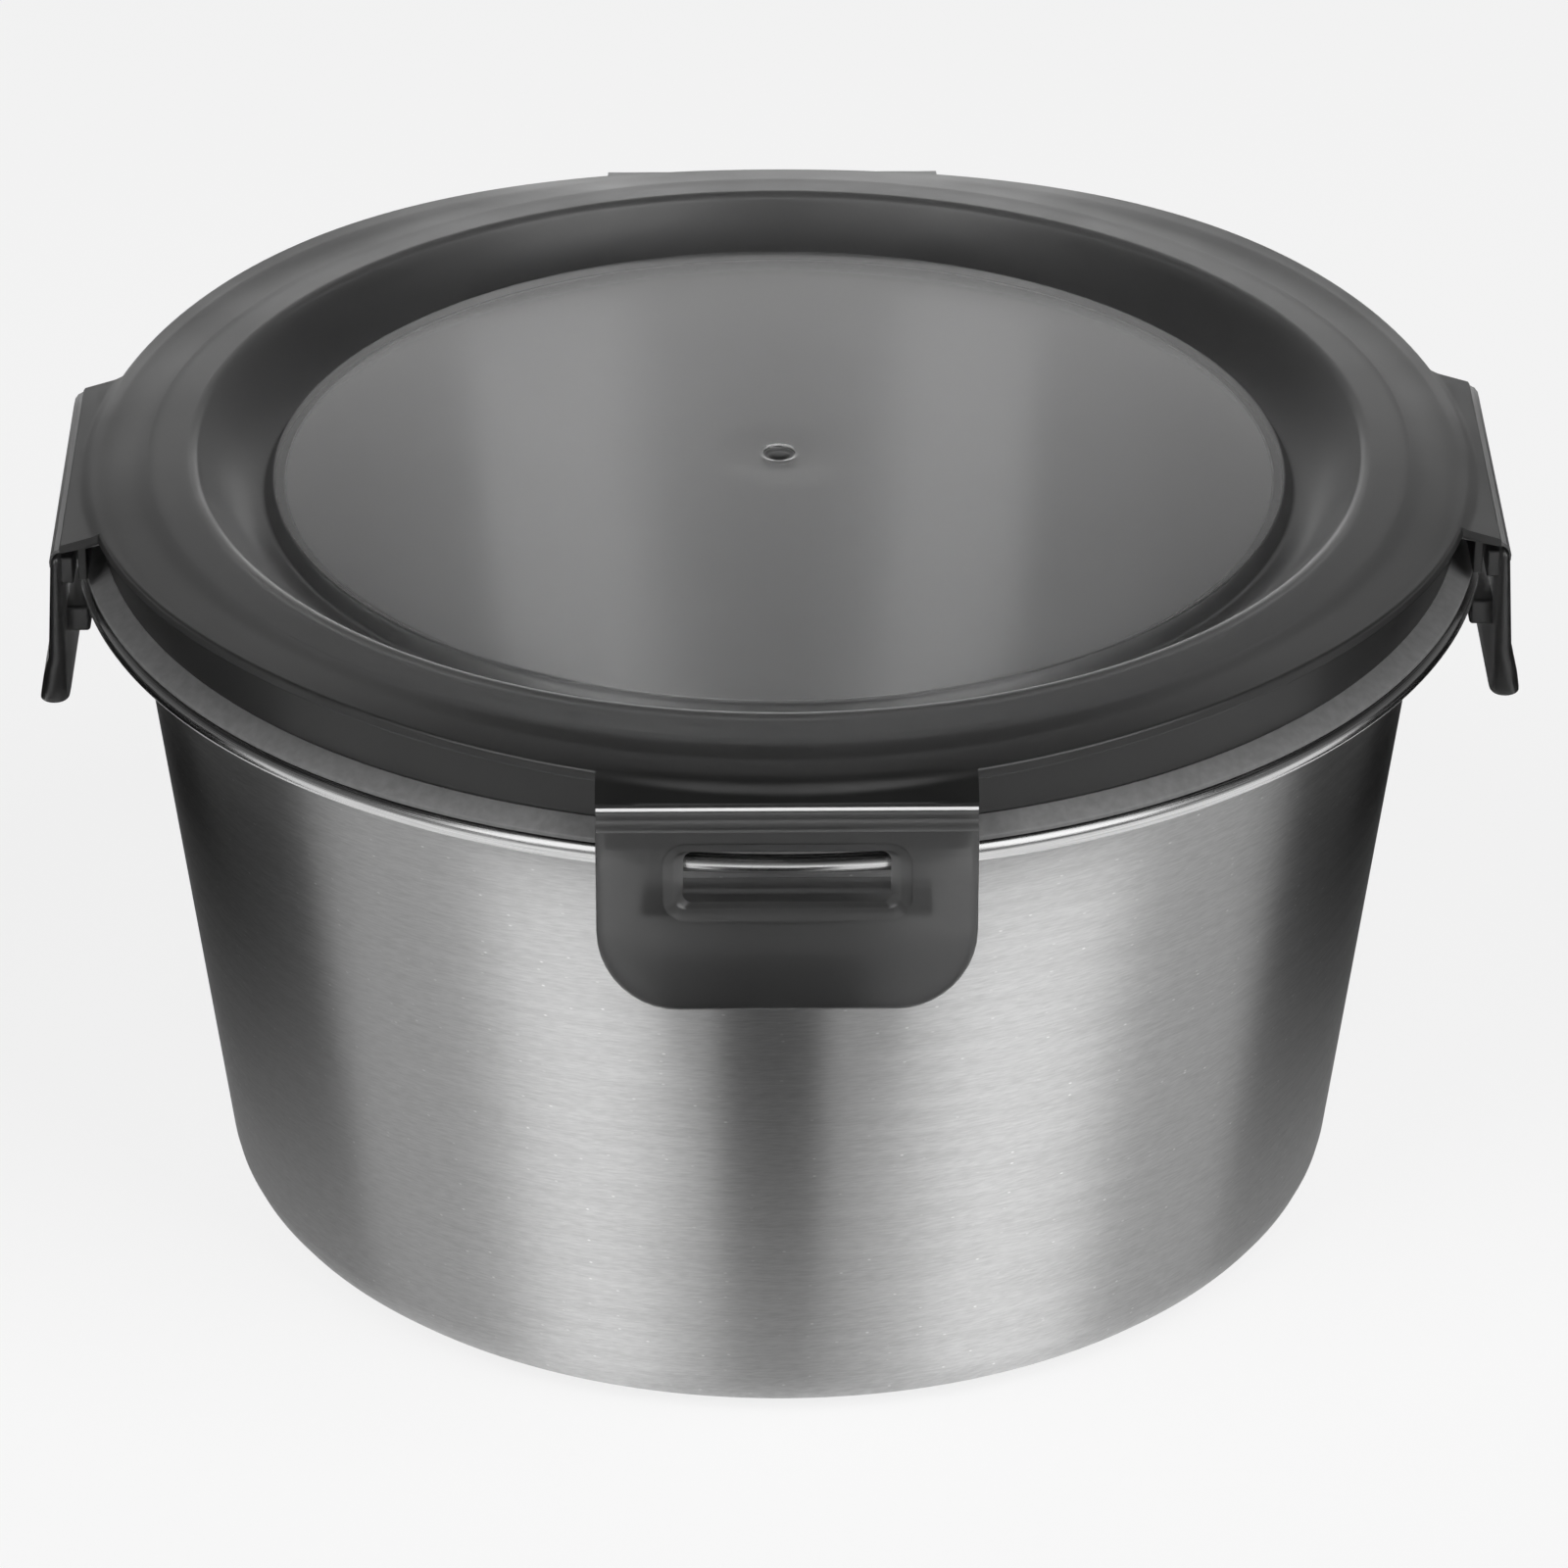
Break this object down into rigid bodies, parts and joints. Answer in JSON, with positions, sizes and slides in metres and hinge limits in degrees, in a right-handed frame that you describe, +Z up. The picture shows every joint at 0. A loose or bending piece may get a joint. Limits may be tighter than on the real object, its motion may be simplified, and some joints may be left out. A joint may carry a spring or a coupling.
{
  "type": "food container",
  "caption": "Round stainless steel food container with a smoky plastic lid, a silicone gasket and hinged side latches that hook under its rolled rim.",
  "frame": {"origin": "centre of the flat base, on the surface that the bowl stands on", "axes": "+Z up the axis of the bowl, -Y towards the front latch, +X towards the right latch"},
  "size_m": [0.1938, 0.1938, 0.1047],
  "materials": {
    "steel": "brushed round the wall",
    "smoky_plastic": "glossy see-through smoke grey",
    "silicone": "satin grey"
  },
  "bodies": {
    "bowl": {"bowl": "steel"},
    "lid": {"lid": "smoky_plastic", "gasket": "silicone", "hinge_front": "smoky_plastic", "hinge_right": "smoky_plastic", "hinge_back": "smoky_plastic", "hinge_left": "smoky_plastic"},
    "latch_front": {"latch_front": "smoky_plastic", "catch_front": "smoky_plastic"},
    "latch_right": {"latch_right": "smoky_plastic", "catch_right": "smoky_plastic"},
    "latch_back": {"latch_back": "smoky_plastic", "catch_back": "smoky_plastic"},
    "latch_left": {"latch_left": "smoky_plastic", "catch_left": "smoky_plastic"}
  },
  "joints": [
    {"name": "lid_lift", "type": "slide", "parent": "bowl", "child": "lid", "axis": [0, 0, 1], "range_m": [0, 0.06], "deforming": ["catch_front", "catch_right", "catch_back", "catch_left"]},
    {"name": "latch_front_swing", "type": "hinge", "parent": "lid", "child": "latch_front", "pos_m": [0, -0.0934, 0.0999], "axis": [-1, 0, 0], "range_deg": [0, 120], "deforming": ["hinge_front"]},
    {"name": "latch_right_swing", "type": "hinge", "parent": "lid", "child": "latch_right", "pos_m": [0.0934, 0, 0.0999], "axis": [0, -1, 0], "range_deg": [0, 120], "deforming": ["hinge_right"]},
    {"name": "latch_back_swing", "type": "hinge", "parent": "lid", "child": "latch_back", "pos_m": [0, 0.0934, 0.0999], "axis": [1, 0, 0], "range_deg": [0, 120], "deforming": ["hinge_back"]},
    {"name": "latch_left_swing", "type": "hinge", "parent": "lid", "child": "latch_left", "pos_m": [-0.0934, 0, 0.0999], "axis": [0, 1, 0], "range_deg": [0, 120], "deforming": ["hinge_left"]}
  ]
}
